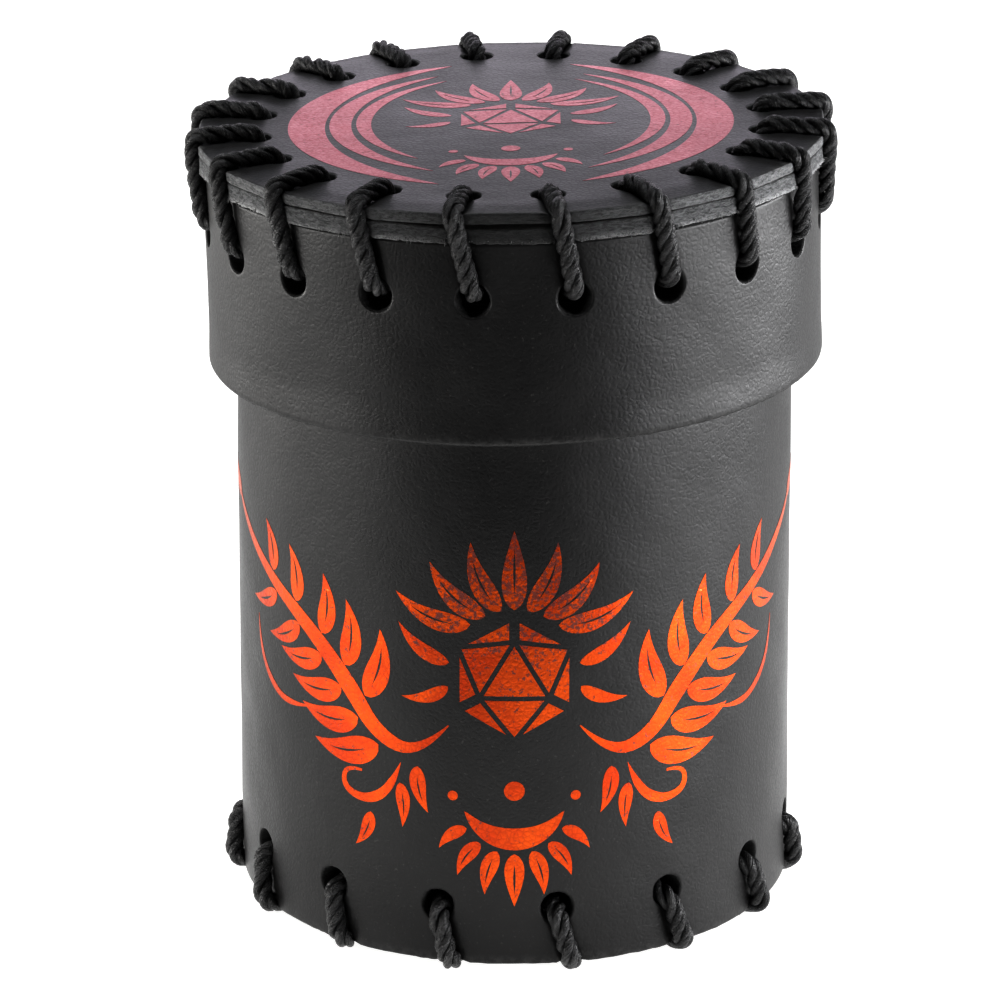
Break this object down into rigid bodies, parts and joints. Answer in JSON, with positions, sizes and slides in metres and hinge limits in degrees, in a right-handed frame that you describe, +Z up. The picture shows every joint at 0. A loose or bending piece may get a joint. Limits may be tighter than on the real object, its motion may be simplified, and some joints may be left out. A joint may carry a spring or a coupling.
{
  "type": "dice cup",
  "caption": "Round leather dice cup with a cap lid; the base disc and the lid's disc are laced to rolled leather walls with waxed cord.",
  "frame": {"origin": "centre of the base on the surface that the cup stands on, at the bottom of the base lacing", "axes": "+Z up along the cup's axis, through the lid; -Y is the front, and the seams are at the back, +Y"},
  "size_m": [0.0946, 0.0946, 0.1184],
  "materials": {
    "cup_leather": "smooth black leather with a fine pebble grain, waxed",
    "lid_leather": "smooth black leather with a fine pebble grain, waxed",
    "liner_leather": "black leather, rough raw edge, duller than the face",
    "lace_cord": "waxed black twisted cord, slightly glossy",
    "seam_thread": "waxed black linen thread"
  },
  "bodies": {
    "cup": {"cup_wall": "cup_leather", "cup_base": "cup_leather", "base_lace": "lace_cord", "base_lace_knot": "lace_cord", "cup_seam_thread_left": "seam_thread", "cup_seam_thread_right": "seam_thread"},
    "lid": {"lid_wall": "lid_leather", "lid_top_outer": "lid_leather", "lid_top_liner": "liner_leather", "lid_lace": "lace_cord", "lid_lace_knot": "lace_cord", "lid_seam_thread_left": "seam_thread", "lid_seam_thread_right": "seam_thread"}
  },
  "joints": [
    {"name": "lid_lift", "type": "slide", "parent": "cup", "child": "lid", "axis": [0, 0, 1], "range_m": [0, 0.11]}
  ]
}
